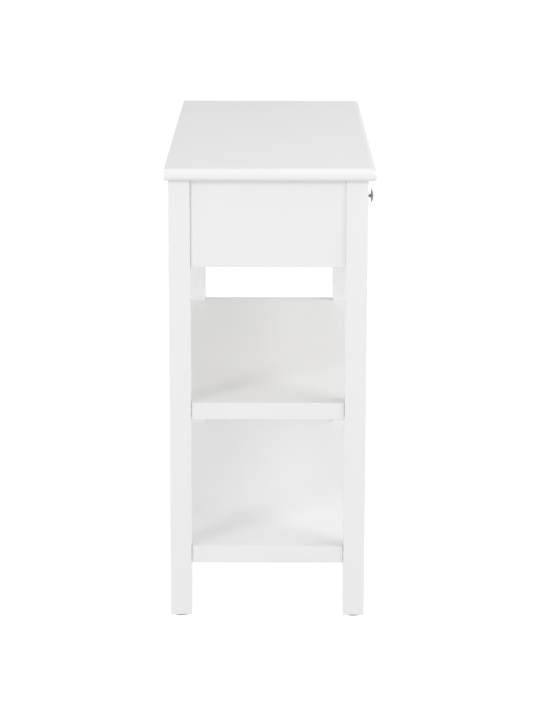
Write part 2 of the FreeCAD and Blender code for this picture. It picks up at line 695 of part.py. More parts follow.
OPENING = LEG_INNER - size.stile_width / 2
FRONT_LOW = RAIL_TOP + size.drawer_gap
BOX_LOW = FRONT_LOW + size.box_lift
BOX_TOP = STRETCHER_LOW - size.box_top_gap
BOX_HEIGHT = BOX_TOP - BOX_LOW
BOX_REAR = BACK_INNER - size.box_rear_gap
BOX_INSET = size.drawer_gap + size.box_setin
RUNNER_MIDDLE = (BOX_LOW + BOX_TOP) / 2
RUNNER_LOW = RUNNER_MIDDLE - size.runner_height / 2

# Each runner reaches from the wall that carries it into the groove of the drawer's side.
reach_into_box = BOX_INSET + size.runner_groove - size.runner_play
outer_runner = APRON_INNER - LEG_INNER + reach_into_box
inner_runner = (size.stile_width - size.divider_thickness) / 2 + reach_into_box
outer_runner_screw = wood_screw("outer_runner_screw", outer_runner, size.screw_bite, *wood_gauge)
inner_runner_screw = wood_screw("inner_runner_screw", inner_runner, size.screw_bite, *wood_gauge)

end_grain_bite = 2 * size.thin_screw_bite
box_screw = wood_screw("box_screw", size.box_wall, end_grain_bite, *thin_gauge)
bottom_screw = wood_screw("bottom_screw", size.hardboard, end_grain_bite, *thin_gauge)

knob_thread = size.knob_thread_diameter / 2
knob_grip = size.front_thickness + size.knob_thread_grip
knob_screw_profile = [(0, -knob_thread), (2 * knob_thread, -knob_thread), (2 * knob_thread, 0)]
knob_screw_profile += [(knob_thread, 0), (knob_thread, knob_grip), (0, knob_grip)]
knob_screw = {"body": fastener("knob_screw", knob_screw_profile)}


def runners(side):
    """The outer runner on the side apron and the inner runner on the divider.

    The screws of the left and right inner runners are staggered, because they share the divider.
    """
    stagger = {"left": -0.04, "right": 0.04}[side]
    centres = [(BETWEEN_FRONT + BETWEEN_LEGS * (share + stagger), RUNNER_MIDDLE) for share in (0.2, 0.8)]
    near = size.divider_thickness / 2
    for place, wide, start, head, way, wall, screw in (
        (
            "outer",
            outer_runner,
            APRON_INNER - outer_runner,
            APRON_INNER - outer_runner,
            outward(side),
            side_aprons[side],
            outer_runner_screw,
        ),
        ("inner", inner_runner, near, near + inner_runner, inward(side), divider, inner_runner_screw),
    ):
        corner = (low_side(side, start, wide), BETWEEN_FRONT, RUNNER_LOW)
        runner = board(f"{side}_drawer_{place}_runner", corner, (wide, BETWEEN_LEGS, size.runner_height))
        screw_joint("runner_screws", runner, wall, way, at_side(side, head), centres, screw)


def drawer_knob(name, front, middle, height):
    """A turned metal knob on a thin neck, held by a screw from inside the drawer."""
    foot, neck, head = size.knob_foot_diameter / 2, size.knob_neck_diameter / 2, size.knob_diameter / 2
    back_of_head = size.knob_reach - size.knob_head_height
    dome = size.knob_head_height - size.knob_rim
    profile = [
        (0, 0),
        (foot, 0),
        (foot, size.knob_foot_height),
        (neck, size.knob_foot_height + foot - neck),
        (neck, back_of_head - neck),
        (neck + neck / 3, back_of_head - neck / 3),
        (2 * neck, back_of_head),
        (head - size.knob_rim / 2, back_of_head + size.knob_rim / 4),
        (head, back_of_head + size.knob_rim * 0.75),
        (head - size.knob_rim / 4, back_of_head + size.knob_rim * 1.25),
        (head * 0.6, size.knob_reach - dome * 0.35),
        (head * 0.25, size.knob_reach - dome * 0.06),
        (0, size.knob_reach),
    ]
    knob = turned(f"{name}_knob", (middle, FRONT_FACE, height), profile)
    bore = size.knob_thread_diameter + size.bore_play
    drill(knob, "-y", FRONT_FACE, [(middle, height)], bore, size.knob_thread_grip + size.bore_play)
    drill(front, "-y", FRONT_REAR, [(middle, height)], bore, size.front_thickness)
    fit(f"{name}_knob_screw", knob_screw, "-y", {"x": middle, "y": FRONT_REAR, "z": height})


def drawer(side):
    """One drawer: the front, two grooved sides, a back, a bottom slid into grooves, and a knob."""
    name = f"{side}_drawer"
    wall, slip = size.box_wall, size.hardboard_slip
    opening = -LEG_INNER if side == "left" else size.stile_width / 2
    middle = opening + OPENING / 2
    box = opening + BOX_INSET
    box_end = opening + OPENING - BOX_INSET
    front_high = UNDER_TOP - size.drawer_gap
    front_corner = (opening + size.drawer_gap, FRONT_FACE, FRONT_LOW)
    front_extent = (OPENING - 2 * size.drawer_gap, size.front_thickness, front_high - FRONT_LOW)
    front = board(f"{name}_front", front_corner, front_extent)
    round_edges(front, size.edge_ease, lambda edge: edge.YMax < 1e-6)

    bottom_low = BOX_LOW + size.bottom_rise
    bottom_high = bottom_low + size.hardboard
    tongue = size.bottom_groove - slip
    bottom_left, bottom_right = box + wall - tongue, box_end - wall + tongue
    bottom_front = FRONT_REAR - tongue
    groove_low, groove_high = bottom_low - slip / 2, bottom_high + slip / 2
    low, high = (bottom_left - slip, groove_low), (bottom_right + slip, groove_high)
    groove(front, "-y", FRONT_REAR, low, high, size.bottom_groove)

    back_corner = (box + wall, BOX_REAR - wall, bottom_high)
    back = board(f"{name}_back", back_corner, (box_end - box - 2 * wall, wall, BOX_TOP - bottom_high))
    back_line = BOX_REAR - wall / 2
    runner_low = (BETWEEN_FRONT - size.runner_play, RUNNER_LOW - size.runner_play)
    runner_high = (BOX_REAR, RUNNER_LOW + size.runner_height + size.runner_play)
    heights = [BOX_LOW + BOX_HEIGHT * share for share in (0.25, 0.85)]
    for hand, low_x, outer, inner in (
        ("left", box, box, box + wall),
        ("right", box_end - wall, box_end, box_end - wall),
    ):
        corner, extent = (low_x, FRONT_REAR, BOX_LOW), (wall, BOX_REAR - FRONT_REAR, BOX_HEIGHT)
        piece = board(f"{name}_{hand}_side", corner, extent)
        groove(piece, inward(hand), outer, runner_low, runner_high, size.runner_groove)
        groove_from, groove_to = (FRONT_REAR, groove_low), (BOX_REAR, groove_high)
        groove(piece, outward(hand), inner, groove_from, groove_to, size.bottom_groove)
        centres = [(low_x + wall / 2, height) for height in heights]
        dowel_joint(f"{name}_box_dowels", piece, front, "-y", FRONT_REAR, centres, small_dowel)
        centres = [(back_line, height) for height in heights]
        screw_joint(f"{name}_box_screws", piece, back, inward(hand), outer, centres, box_screw)

    bottom_extent = (bottom_right - bottom_left, BOX_REAR - bottom_front, size.hardboard)
    bottom = board(f"{name}_bottom", (bottom_left, bottom_front, bottom_low), bottom_extent)
    centres = [(middle + OPENING * share, back_line) for share in (-0.3, 0, 0.3)]
    screw_joint(f"{name}_box_screws", bottom, back, "+z", bottom_low, centres, bottom_screw)
    drawer_knob(name, front, middle, (FRONT_LOW + front_high) / 2)


for side in SIDES:
    runners(side)
    drawer(side)

# ---------------------------------------------------------------- groups of fasteners

for label, links in groups.items():
    group = doc.addObject("Part::Compound", label)
    group.Label = label
    group.Links = links
    nodes[label] = group

doc.recompute()

# ---------------------------------------------------------------- checks and export

SUBTRACTIVE = ("PartDesign::Pocket", "PartDesign::Hole", "PartDesign::Fillet")

for thing in doc.Objects:
    if "Invalid" in thing.State or "Error" in thing.State:
        raise RuntimeError(f"{thing.Label} did not recompute: {thing.State}")
    if thing.TypeId in SUBTRACTIVE and thing.Shape.Volume > thing.BaseFeature.Shape.Volume - 1e-3:
        raise RuntimeError(f"{thing.Label} takes nothing away")

for label, node in nodes.items():
    if node.Shape.isNull() or not node.Shape.isValid():
        raise RuntimeError(f"{label} has no valid shape")
    if not label.startswith(tuple(groups)) and len(node.Shape.Solids) != 1:
        raise RuntimeError(f"{label} is {len(node.Shape.Solids)} solids")

os.makedirs("parts", exist_ok=True)
for label, node in nodes.items():
    node.Shape.exportStep(f"parts/{label}.step")

print(len(nodes), "sub-parts")
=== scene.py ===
import json
import math

import bmesh
import bpy
from mathutils import Matrix, Vector
from mathutils.geometry import interpolate_bezier

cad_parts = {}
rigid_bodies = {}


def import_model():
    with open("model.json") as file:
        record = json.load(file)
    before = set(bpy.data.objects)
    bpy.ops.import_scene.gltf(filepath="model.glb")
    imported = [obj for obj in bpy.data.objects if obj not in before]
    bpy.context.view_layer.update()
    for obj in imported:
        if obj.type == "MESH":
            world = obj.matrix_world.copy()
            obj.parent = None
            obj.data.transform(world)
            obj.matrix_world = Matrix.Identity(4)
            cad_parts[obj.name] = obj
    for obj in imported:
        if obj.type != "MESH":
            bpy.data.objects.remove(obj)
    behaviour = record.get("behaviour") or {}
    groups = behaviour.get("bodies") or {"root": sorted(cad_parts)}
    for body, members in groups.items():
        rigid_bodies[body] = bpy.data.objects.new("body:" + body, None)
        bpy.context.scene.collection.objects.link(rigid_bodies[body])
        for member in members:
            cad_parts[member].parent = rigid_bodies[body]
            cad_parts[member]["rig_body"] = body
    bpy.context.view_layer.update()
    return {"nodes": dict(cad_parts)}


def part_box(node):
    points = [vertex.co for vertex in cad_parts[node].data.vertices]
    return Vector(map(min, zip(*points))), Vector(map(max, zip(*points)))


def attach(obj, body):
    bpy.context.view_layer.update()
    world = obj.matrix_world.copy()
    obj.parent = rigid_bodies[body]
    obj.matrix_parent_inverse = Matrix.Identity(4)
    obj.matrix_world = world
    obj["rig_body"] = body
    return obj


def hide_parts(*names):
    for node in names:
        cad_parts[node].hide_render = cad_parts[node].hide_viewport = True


# A white lacquered console table: two drawers under a round-edged top, and two open shelves between square
# legs. It is put together here from the floor up. +X is the right end, +Y the back, and sizes are in metres.

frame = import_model()
scene = bpy.context.scene

# -------------------------------------------------------------------------------------- legs
# Four square legs of glued-up rubberwood, planed, sanded and sprayed with white lacquer. Their long edges
# are rounded over by hand, and the end grain at the foot is eased so that it doesn't chip.

leg_edge = 0.0015


def linear(hex_colour):
    """An sRGB hex colour as linear light."""
    shares = [int(hex_colour[start:start + 2], 16) / 255 for start in (1, 3, 5)]
    return [s / 12.92 if s <= 0.04045 else ((s + 0.055) / 1.055) ** 2.4 for s in shares] + [1]


def add(tree, kind, inputs=None, **settings):
    """Adds a node. An input is a value, a socket to link, or a node whose first output is linked."""
    node = tree.nodes.new(kind)
    for name, value in settings.items():
        setattr(node, name, value)
    for name, value in (inputs or {}).items():
        if isinstance(value, bpy.types.Node):
            value = value.outputs[0]
        if isinstance(value, bpy.types.NodeSocket):
            tree.links.new(value, node.inputs[name])
        else:
            node.inputs[name].default_value = value
    return node


def finish(name, values):
    """A new material, its tree, and its shader with the values that are the same all over."""
    material = bpy.data.materials.new(name)
    material.use_nodes = True
    shader = material.node_tree.nodes["Principled BSDF"]
    for socket, value in values.items():
        shader.inputs[socket].default_value = value
    return material, material.node_tree, shader


# Sprayed catalysed lacquer, satin. Spraying leaves it very slightly uneven, like orange peel, with cells
# about 1 mm wide; they are drawn 4 mm wide, or they wouldn't show. It lies thicker and thinner by the
# hand's breadth, which shifts its shine and its white a little.
peel_cell = 0.004
hand_breadth = 0.11
white_lacquer, tree, shader = finish("white_satin_lacquer", {"IOR": 1.5, "Specular IOR Level": 0.5})
here = add(tree, "ShaderNodeTexCoord").outputs["Object"]
peel = add(tree, "ShaderNodeTexNoise", {
    "Vector": here, "Scale": 1 / peel_cell, "Detail": 2, "Roughness": 0.45})
coat = add(tree, "ShaderNodeTexNoise", {
    "Vector": here, "Scale": 1 / hand_breadth, "Detail": 3, "Roughness": 0.55})
bump = add(tree, "ShaderNodeBump", {"Height": peel, "Strength": 0.16, "Distance": 0.0004})
tone = add(tree, "ShaderNodeMix", {
    "Factor": coat, "A": linear("#F4F4F4"), "B": linear("#F6F6F6")}, data_type="RGBA")
shine = add(tree, "ShaderNodeMapRange", {"Value": coat, "To Min": 0.34, "To Max": 0.46})
tree.links.new(tone.outputs["Result"], shader.inputs["Base Color"])
tree.links.new(shine.outputs["Result"], shader.inputs["Roughness"])
tree.links.new(bump.outputs["Normal"], shader.inputs["Normal"])


def shell_mesh(name, bm):
    """Keeps a closed shell as a mesh, with its faces turned outwards."""
    bmesh.ops.recalc_face_normals(bm, faces=bm.faces)
    mesh = bpy.data.meshes.new(name)
    bm.to_mesh(mesh)
    bm.free()
    return mesh


def prism(name, outline, axis, start, end):
    """A closed mesh: an outline on two axes, in the order of their letters, drawn out along the third."""
    bm = bmesh.new()
    ends = []
    for level in (start, end):
        ring = []
        for across, up in outline:
            point = {"x": (level, across, up), "y": (across, level, up), "z": (across, up, level)}[axis]
            ring.append(bm.verts.new(point))
        ends.append(ring)
        bm.faces.new(ring)
    first, second = ends
    for corner in range(len(outline)):
        following = (corner + 1) % len(outline)
        bm.faces.new((first[corner], first[following], second[following], second[corner]))
    return shell_mesh(name, bm)


def board_mesh(name, low, high):
    """A plain board between two corners."""
    outline = [(low.y, low.z), (high.y, low.z), (high.y, high.z), (low.y, high.z)]
    return prism(name, outline, "x", low.x, high.x)


def stand_in_for(node, mesh, material):
    """Puts a mesh in the table in place of a CAD node, on that node's body and in its material slot."""
    piece = bpy.data.objects.new(mesh.name, mesh)
    scene.collection.objects.link(piece)
    if material and not mesh.materials:
        mesh.materials.append(material)
    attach(piece, frame["nodes"][node]["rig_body"])
    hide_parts(node)
    return piece


corner_angle = math.radians(30)


def ease_edges(piece, radius, segments=3, crisp=None):
    """Rounds a piece's outer edges as sanding does. One whose two ends both pass the test stays sharp."""
    bm = bmesh.new()
    bm.from_mesh(piece.data)
    weight = bm.edges.layers.float.new("bevel_weight_edge")
    for face in bm.faces:
        face.smooth = True
    for edge in bm.edges:
        is_corner = edge.calc_face_angle(0) > corner_angle
        kept = crisp and all(crisp(vertex.co) for vertex in edge.verts)
        eased = is_corner and edge.is_convex and not kept
        edge[weight] = 1 if eased else 0
        edge.smooth = eased or not is_corner
    bm.to_mesh(piece.data)
    bm.free()
    bevel = piece.modifiers.new("eased_edges", "BEVEL")
    bevel.limit_method = "WEIGHT"
    bevel.width = radius
    bevel.segments = segments
    bevel.harden_normals = True


for end in ("front", "rear"):
    for side in ("left", "right"):
        node = f"{end}_{side}_leg"
        leg = stand_in_for(node, board_mesh(f"{end}_{side}_square_leg", *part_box(node)), white_lacquer)
        ease_edges(leg, leg_edge, segments=5)

# -------------------------------------------------------------------------------------- glides
# Under each leg is a nail-on glide: a moulded disc of grey nylon with a rounded rim, 2 mm high, which keeps
# the lacquer off the floor. The nail's hole shows as a dimple in its middle.

# Nylon comes out of its mould dull, with a fine grain of about 0.3 mm, drawn here at 1 mm.
nylon_grain = 0.001
nylon, tree, shader = finish("moulded_grey_nylon", {"IOR": 1.53, "Roughness": 0.55})
here = add(tree, "ShaderNodeTexCoord").outputs["Object"]
grain = add(tree, "ShaderNodeTexNoise", {"Vector": here, "Scale": 1 / nylon_grain, "Detail": 2})
bump = add(tree, "ShaderNodeBump", {"Height": grain, "Strength": 0.2, "Distance": 0.0001})
tone = add(tree, "ShaderNodeMix", {
    "Factor": grain, "A": linear("#6A6A68"), "B": linear("#757573")}, data_type="RGBA")
tree.links.new(tone.outputs["Result"], shader.inputs["Base Color"])
tree.links.new(bump.outputs["Normal"], shader.inputs["Normal"])


# Points nearer than the first are one point, and points nearer than the second are level with each other.
same_point = 1e-6
same_level = 1e-5


def solids(node):
    """The corners of each separate solid in a CAD node, as lists of points in no fixed order."""
    bm = bmesh.new()
    bm.from_mesh(frame["nodes"][node].data)
    bmesh.ops.remove_doubles(bm, verts=bm.verts, dist=same_point)
    left, found = set(bm.verts), []
    while left:
        reached, island = [left.pop()], []
        while reached:
            vertex = reached.pop()
            island.append(vertex.co.copy())
            for edge in vertex.link_edges:
                other = edge.other_vert(vertex)
                if other in left:
                    left.remove(other)
                    reached.append(other)
        found.append(island)
    bm.free()
    return found


def extent(points):
    """The lowest and highest corner of some points."""
    return [Vector(choose(p[axis] for p in points) for axis in range(3)) for choose in (min, max)]


def new_tree(name, inputs):
    """An empty Geometry Nodes tree with named inputs, and its two end nodes."""
    tree = bpy.data.node_groups.new(name, "GeometryNodeTree")
    tree.interface.new_socket("Geometry", in_out="INPUT", socket_type="NodeSocketGeometry")
    for label, kind in inputs.items():
        tree.interface.new_socket(label, in_out="INPUT", socket_type=f"NodeSocket{kind}")
    tree.interface.new_socket("Geometry", in_out="OUTPUT", socket_type="NodeSocketGeometry")
    return tree, add(tree, "NodeGroupInput").outputs, add(tree, "NodeGroupOutput")


def set_out(tree, group, output, shape, turned=None):
    """Ends a tree: the shape stands at each point, its Z along the point's way and X along its toward."""
    way = add(tree, "GeometryNodeInputNamedAttribute", {"Name": "way"}, data_type="FLOAT_VECTOR")
    toward = add(tree, "GeometryNodeInputNamedAttribute", {"Name": "toward"}, data_type="FLOAT_VECTOR")
    upright = add(tree, "FunctionNodeAlignRotationToVector", {"Vector": way}, axis="Z")
    facing = {"Rotation": upright, "Vector": toward}
    rotation = add(tree, "FunctionNodeAlignRotationToVector", facing, axis="X", pivot_axis="Z")
    if turned:
        spin = add(tree, "FunctionNodeAxisAngleToRotation", {"Axis": (0, 0, 1), "Angle": turned})
        spun = {"Rotation": rotation, "Rotate By": spin}
        rotation = add(tree, "FunctionNodeRotateRotation", spun, rotation_space="LOCAL")
    placing = {"Points": group["Geometry"], "Instance": shape, "Rotation": rotation}
    placed = add(tree, "GeometryNodeInstanceOnPoints", placing)
    whole = add(tree, "GeometryNodeRealizeInstances", {"Geometry": placed})
    dressed = add(tree, "GeometryNodeSetMaterial", {"Geometry": whole, "Material": group["Material"]})
    tree.links.new(dressed.outputs["Geometry"], output.inputs["Geometry"])


# A screw's shank has twelve sides that meet at 30 degrees, and has to look round.
facet_angle = math.radians(32)


def repeat(name, tree, node, places, values):
    """Runs a tree on points with a way and a toward each, and keeps the result as a plain mesh."""
    points = bpy.data.meshes.new(f"{name}_points")
    points.from_pydata([place for place, way, toward in places], [], [])
    for index, label in enumerate(("way", "toward"), start=1):
        vectors = points.attributes.new(label, "FLOAT_VECTOR", "POINT")
        vectors.data.foreach_set("vector", [value for place in places for value in place[index]])
    carrier = bpy.data.objects.new(f"{name}_carrier", points)
    scene.collection.objects.link(carrier)
    modifier = carrier.modifiers.new(name, "NODES")
    modifier.node_group = tree
    for item in tree.interface.items_tree:
        if item.in_out == "INPUT" and item.name in values:
            modifier[item.identifier] = values[item.name]
    evaluated = carrier.evaluated_get(bpy.context.evaluated_depsgraph_get())
    mesh = bpy.data.meshes.new_from_object(evaluated)
    mesh.name = name
    carrier.modifiers.remove(modifier)
    bpy.data.objects.remove(carrier)
    mesh.shade_smooth()
    mesh.set_sharp_from_angle(angle=facet_angle)
    return stand_in_for(node, mesh, None)


# The disc draws in towards the floor, faster the lower it is, and a cone in its foot is the nail's dimple.
rim_curve = 3
glide_inputs = {"Diameter": "Float", "Height": "Float", "Rim": "Float", "Nail Diameter": "Float"}
glide_inputs |= {"Nail Length": "Float", "Material": "Material"}
tree, group, output = new_tree("nail_on_glides", glide_inputs)
radius = add(tree, "ShaderNodeMath", {0: group["Diameter"], 1: 0.5}, operation="MULTIPLY")
disc = add(tree, "GeometryNodeMeshCylinder", {
    "Vertices": 48, "Side Segments": 6, "Fill Segments": 3, "Radius": radius, "Depth": group["Height"]})
place = add(tree, "GeometryNodeInputPosition")
height = add(tree, "ShaderNodeSeparateXYZ", {"Vector": place}).outputs["Z"]
half = add(tree, "ShaderNodeMath", {0: group["Height"], 1: 0.5}, operation="MULTIPLY")
low_half = add(tree, "ShaderNodeMath", {0: half, 1: -1}, operation="MULTIPLY")
lift = add(tree, "ShaderNodeMapRange", {"Value": height, "From Min": low_half, "From Max": half})
lift = add(tree, "ShaderNodeMath", {0: 1, 1: lift}, operation="SUBTRACT")
drop = add(tree, "ShaderNodeMath", {0: lift, 1: rim_curve}, operation="POWER")
pull = add(tree, "ShaderNodeMath", {0: drop, 1: group["Rim"]}, operation="MULTIPLY")
share = add(tree, "ShaderNodeMath", {0: 1, 1: pull}, operation="SUBTRACT")
narrowed = add(tree, "ShaderNodeCombineXYZ", {"X": share, "Y": share, "Z": 1})
rounded = add(tree, "ShaderNodeVectorMath", {0: place, 1: narrowed}, operation="MULTIPLY")
raised = add(tree, "ShaderNodeCombineXYZ", {"Z": half})
rounded = add(tree, "ShaderNodeVectorMath", {0: rounded, 1: raised}, operation="ADD")
disc = add(tree, "GeometryNodeSetPosition", {"Geometry": disc, "Position": rounded})
dimple = add(tree, "GeometryNodeMeshCone", {
    "Vertices": 24, "Radius Bottom": group["Nail Diameter"], "Radius Top": half, "Depth": half})
disc = add(tree, "GeometryNodeMeshBoolean", {"Mesh 1": disc, "Mesh 2": dimple}, operation="DIFFERENCE")
nail_radius = add(tree, "ShaderNodeMath", {0: group["Nail Diameter"], 1: 0.5}, operation="MULTIPLY")
nail = add(tree, "GeometryNodeMeshCylinder", {
    "Vertices": 16, "Radius": nail_radius, "Depth": group["Nail Length"]})
nail_middle = add(tree, "ShaderNodeMath", {0: group["Nail Length"], 1: 0.5}, operation="MULTIPLY")
nail_middle = add(tree, "ShaderNodeMath", {0: nail_middle, 1: group["Height"]}, operation="ADD")
nail_place = add(tree, "ShaderNodeCombineXYZ", {"Z": nail_middle})
nail = add(tree, "GeometryNodeTransform", {"Geometry": nail, "Translation": nail_place})
glide = add(tree, "GeometryNodeJoinGeometry")
for part in (disc, nail):
    tree.links.new(part.outputs[0], glide.inputs[0])
set_out(tree, group, output, glide)

glide_places = []
for corners in solids("leg_glides"):
    low, high = extent(corners)
    middle = (low + high) / 2
    glide_places.append((Vector((middle.x, middle.y, low.z)), Vector((0, 0, 1)), Vector((1, 0, 0))))
    glide_top = max(p.z for p in corners if abs(p.x - low.x) < same_level)
glide_sizes = {"Diameter": high.x - low.x, "Height": glide_top - low.z, "Rim": 0.05, "Nail Diameter": 0.003}
glide_sizes |= {"Nail Length": high.z - glide_top, "Material": nylon}
repeat("nail_on_glides", tree, "leg_glides", glide_places, glide_sizes)

# -------------------------------------------------------------------------------------- aprons
# A band of 15 mm board runs round the table under the top: a side apron dowelled between the legs at each
# end, and a back apron held by cam fittings. They stand back from the legs' faces. Each stops a hair short
# of the leg at its rear or right end, which leaves a fine line there.

board_edge = 0.0007
joint_line = 0.0003

for node, along in (("left_side_apron", "y"), ("right_side_apron", "y"), ("back_apron", "x")):
    low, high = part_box(node)
    line = Vector([joint_line if letter == along else 0 for letter in "xyz"])
    apron = board_mesh(f"{node}_board", low, high - line)
    ease_edges(stand_in_for(node, apron, white_lacquer), board_edge)

# -------------------------------------------------------------------------------------- front frame
# The front is open for the drawers: a slim rail under them, an upright and a partition between them, and a
# flat rail laid on its side under the top. All are white boards, dowelled together.

for node in ("front_bottom_rail", "front_top_stretcher", "centre_stile", "centre_divider"):
    ease_edges(stand_in_for(node, board_mesh(f"{node}_board", *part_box(node)), white_lacquer), board_edge)

# -------------------------------------------------------------------------------------- cleats
# Square strips of bare beech are screwed round the inside of the aprons, to take the screws that hold the
# top. They are planed and never seen, so they keep their natural colour.

strip_edge = 0.001

# Growth bands run on for about 40 times their width. Flecks are the middles of cells 0.8 mm wide that are
# five times as long.
band_stretch = 40
fleck_stretch = 5
fleck_cell = 0.0008


def planed_wood(name, light, dark, fleck, axis, year, roughness):
    """Planed solid wood with its grain along one axis, its growth bands as wide as the year's wood given."""
    material, tree, shader = finish(name, {"IOR": 1.5, "Roughness": roughness})
    here = add(tree, "ShaderNodeTexCoord").outputs["Object"]
    along_bands = [1 / band_stretch if letter == axis else 1 for letter in "xyz"]
    stretched = add(tree, "ShaderNodeMapping", {"Vector": here, "Scale": along_bands})
    bands = add(tree, "ShaderNodeTexNoise", {
        "Vector": stretched, "Scale": 1 / year, "Detail": 4, "Roughness": 0.6, "Distortion": 0.6})
    growth = add(tree, "ShaderNodeMix", {
        "Factor": bands, "A": linear(dark), "B": linear(light)}, data_type="RGBA").outputs["Result"]
    along_flecks = [1 / fleck_stretch if letter == axis else 1 for letter in "xyz"]
    dashed = add(tree, "ShaderNodeMapping", {"Vector": here, "Scale": along_flecks})
    rays = add(tree, "ShaderNodeTexNoise", {"Vector": dashed, "Scale": 1 / fleck_cell, "Detail": 1})
    marks = add(tree, "ShaderNodeMapRange", {
        "Value": rays, "From Min": 0.62, "From Max": 0.72, "To Max": 0.55})
    colour = add(tree, "ShaderNodeMix", {
        "Factor": marks, "A": growth, "B": linear(fleck)}, data_type="RGBA")
    bump = add(tree, "ShaderNodeBump", {"Height": bands, "Strength": 0.25, "Distance": 0.0003})
    tree.links.new(colour.outputs["Result"], shader.inputs["Base Color"])
    tree.links.new(bump.outputs["Normal"], shader.inputs["Normal"])
    return material


# Planed bare beech is a pinkish tan with short brown flecks and hardly any shine.
beech_year = 0.006
beech = {
    axis: planed_wood(f"planed_beech_along_{axis}", "#DDBB92", "#CDA276", "#A87B4F", axis,
                      beech_year, roughness=0.6) for axis in "xy"}
for node in ("left_top_cleat", "right_top_cleat", "rear_top_cleat"):
    low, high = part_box(node)
    grain_axis = "x" if high.x - low.x > high.y - low.y else "y"
    ease_edges(stand_in_for(node, board_mesh(f"{node}_strip", low, high), beech[grain_axis]), strip_edge)

# -------------------------------------------------------------------------------------- shelves
# Each shelf is a frame of four white rails between the legs, with a 12 mm panel let into a rabbet round its
# inside and screwed from below, and a batten across its middle. Panel and rails are sprayed together, so
# the lacquer fills the joint between them. The end rails stop a hair short of the legs.

rail_edge = 0.0009
rail_joint_line = 0.0005
leg_reveal = 0.0003

for shelf in ("middle_shelf", "lower_shelf"):
    panel_low, panel_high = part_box(f"{shelf}_panel")
    for place, across, along, panel_edge, gap in (
            ("front_rail", 1, 0, panel_low.y, 0),
            ("rear_rail", 1, 0, panel_high.y, 0),
            ("left_end_rail", 0, 1, panel_low.x, rail_joint_line),
            ("right_end_rail", 0, 1, panel_high.x, rail_joint_line)):
        node = f"{shelf}_{place}"
        low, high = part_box(node)
        outer, inner = (low[across], high[across]) if panel_edge < 0 else (high[across], low[across])
        outline = [(outer, low.z), (inner, low.z), (inner, panel_low.z), (panel_edge, panel_low.z)]
        outline += [(panel_edge, high.z), (outer, high.z)]
        rail_mesh = prism(f"{node}_board", outline, "xyz"[along], low[along] + gap, high[along] - gap)
        rail = stand_in_for(node, rail_mesh, white_lacquer)
        ease_edges(rail, rail_edge, crisp=lambda point: abs(point[across] - panel_edge) < same_level)

    # The panel's corners are cut out round the legs.
    notch_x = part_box("front_right_leg")[0].x - leg_reveal
    notch_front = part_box("front_right_leg")[1].y + leg_reveal
    notch_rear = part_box("rear_right_leg")[0].y - leg_reveal
    right_half = [(notch_x, panel_low.y), (notch_x, notch_front), (panel_high.x, notch_front)]
    right_half += [(panel_high.x, notch_rear), (notch_x, notch_rear), (notch_x, panel_high.y)]
    outline = right_half + [(-across, along) for across, along in reversed(right_half)]
    panel_mesh = prism(f"{shelf}_panel_board", outline, "z", panel_low.z, panel_high.z)
    stand_in_for(f"{shelf}_panel", panel_mesh, white_lacquer)

    batten = f"{shelf}_batten"
    batten_mesh = board_mesh(f"{batten}_strip", *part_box(batten))
    ease_edges(stand_in_for(batten, batten_mesh, white_lacquer), strip_edge)

# -------------------------------------------------------------------------------------- top
# The top is one 20 mm board. A router has rounded its front and both ends, 12 mm above and flatter below,
# 6.5 mm high and 9 mm deep, and softened the two front corners. The rear edge is left square, for a wall.

upper_round = 0.012
lower_round_rise = 0.0065
lower_round_depth = 0.009
corner_round = 0.004
least_corner = 0.0003
rear_edge = 0.0006
edge_steps = 10
corner_steps = 6
arris_angle = math.radians(50)


def arc(steps):
    """Angles of a quarter turn, both ends included."""
    return [math.pi / 2 * step / steps for step in range(steps + 1)]


low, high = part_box("tabletop")
# Each level of the edge is drawn in by some amount: the lower round, then the upper one.
levels = []
for a in reversed(arc(edge_steps)):
    levels.append((lower_round_depth * (1 - math.cos(a)), low.z + lower_round_rise * (1 - math.sin(a))))
for a in arc(edge_steps):
    levels.append((upper_round * (1 - math.cos(a)), high.z - upper_round * (1 - math.sin(a))))
bm = bmesh.new()
rings = []
for inset, level in levels:
    bend = max(corner_round - inset, least_corner)
    rear_inset = max(0, rear_edge - (level - low.z), rear_edge - (high.z - level))
    left, right, front, rear = low.x + inset, high.x - inset, low.y + inset, high.y - rear_inset
    outline = [(left, rear)]
    for a in arc(corner_steps):
        outline.append((left + bend * (1 - math.cos(a)), front + bend * (1 - math.sin(a))))
    for a in arc(corner_steps):
        outline.append((right - bend * (1 - math.sin(a)), front + bend * (1 - math.cos(a))))
    outline.append((right, rear))
    rings.append([bm.verts.new((across, along, level)) for across, along in outline])
for below, above in zip(rings, rings[1:]):
    for corner in range(len(below)):
        following = (corner + 1) % len(below)
        bm.faces.new((below[corner], below[following], above[following], above[corner]))
bm.faces.new(rings[0][::-1])
bm.faces.new(rings[-1])
top_mesh = shell_mesh("round_edged_top", bm)
top_mesh.shade_smooth()
top_mesh.set_sharp_from_angle(angle=arris_angle)
top = stand_in_for("tabletop", top_mesh, white_lacquer)
smoothing = top.modifiers.new("flat_faces_lead", "WEIGHTED_NORMAL")
smoothing.keep_sharp = True

# -------------------------------------------------------------------------------------- dowels
# Fluted beech dowels, glued, join the end frames, rails and drawer boxes. They are out of sight inside the
# wood, with their grain along their length.

for node in ("end_frame_dowels", "left_drawer_box_dowels", "right_drawer_box_dowels"):
    frame["nodes"][node].material_slots[0].material = beech["y"]
for node in ("long_rail_dowels", "divider_dowels"):
    frame["nodes"][node].material_slots[0].material = beech["x"]

# -------------------------------------------------------------------------------------- cam fittings
# The long rails come apart for carrying. A steel bolt in each leg runs into the rail's end, and a quarter
# turn of a die-cast zinc cam, let into the rail's hidden face, grips its head.

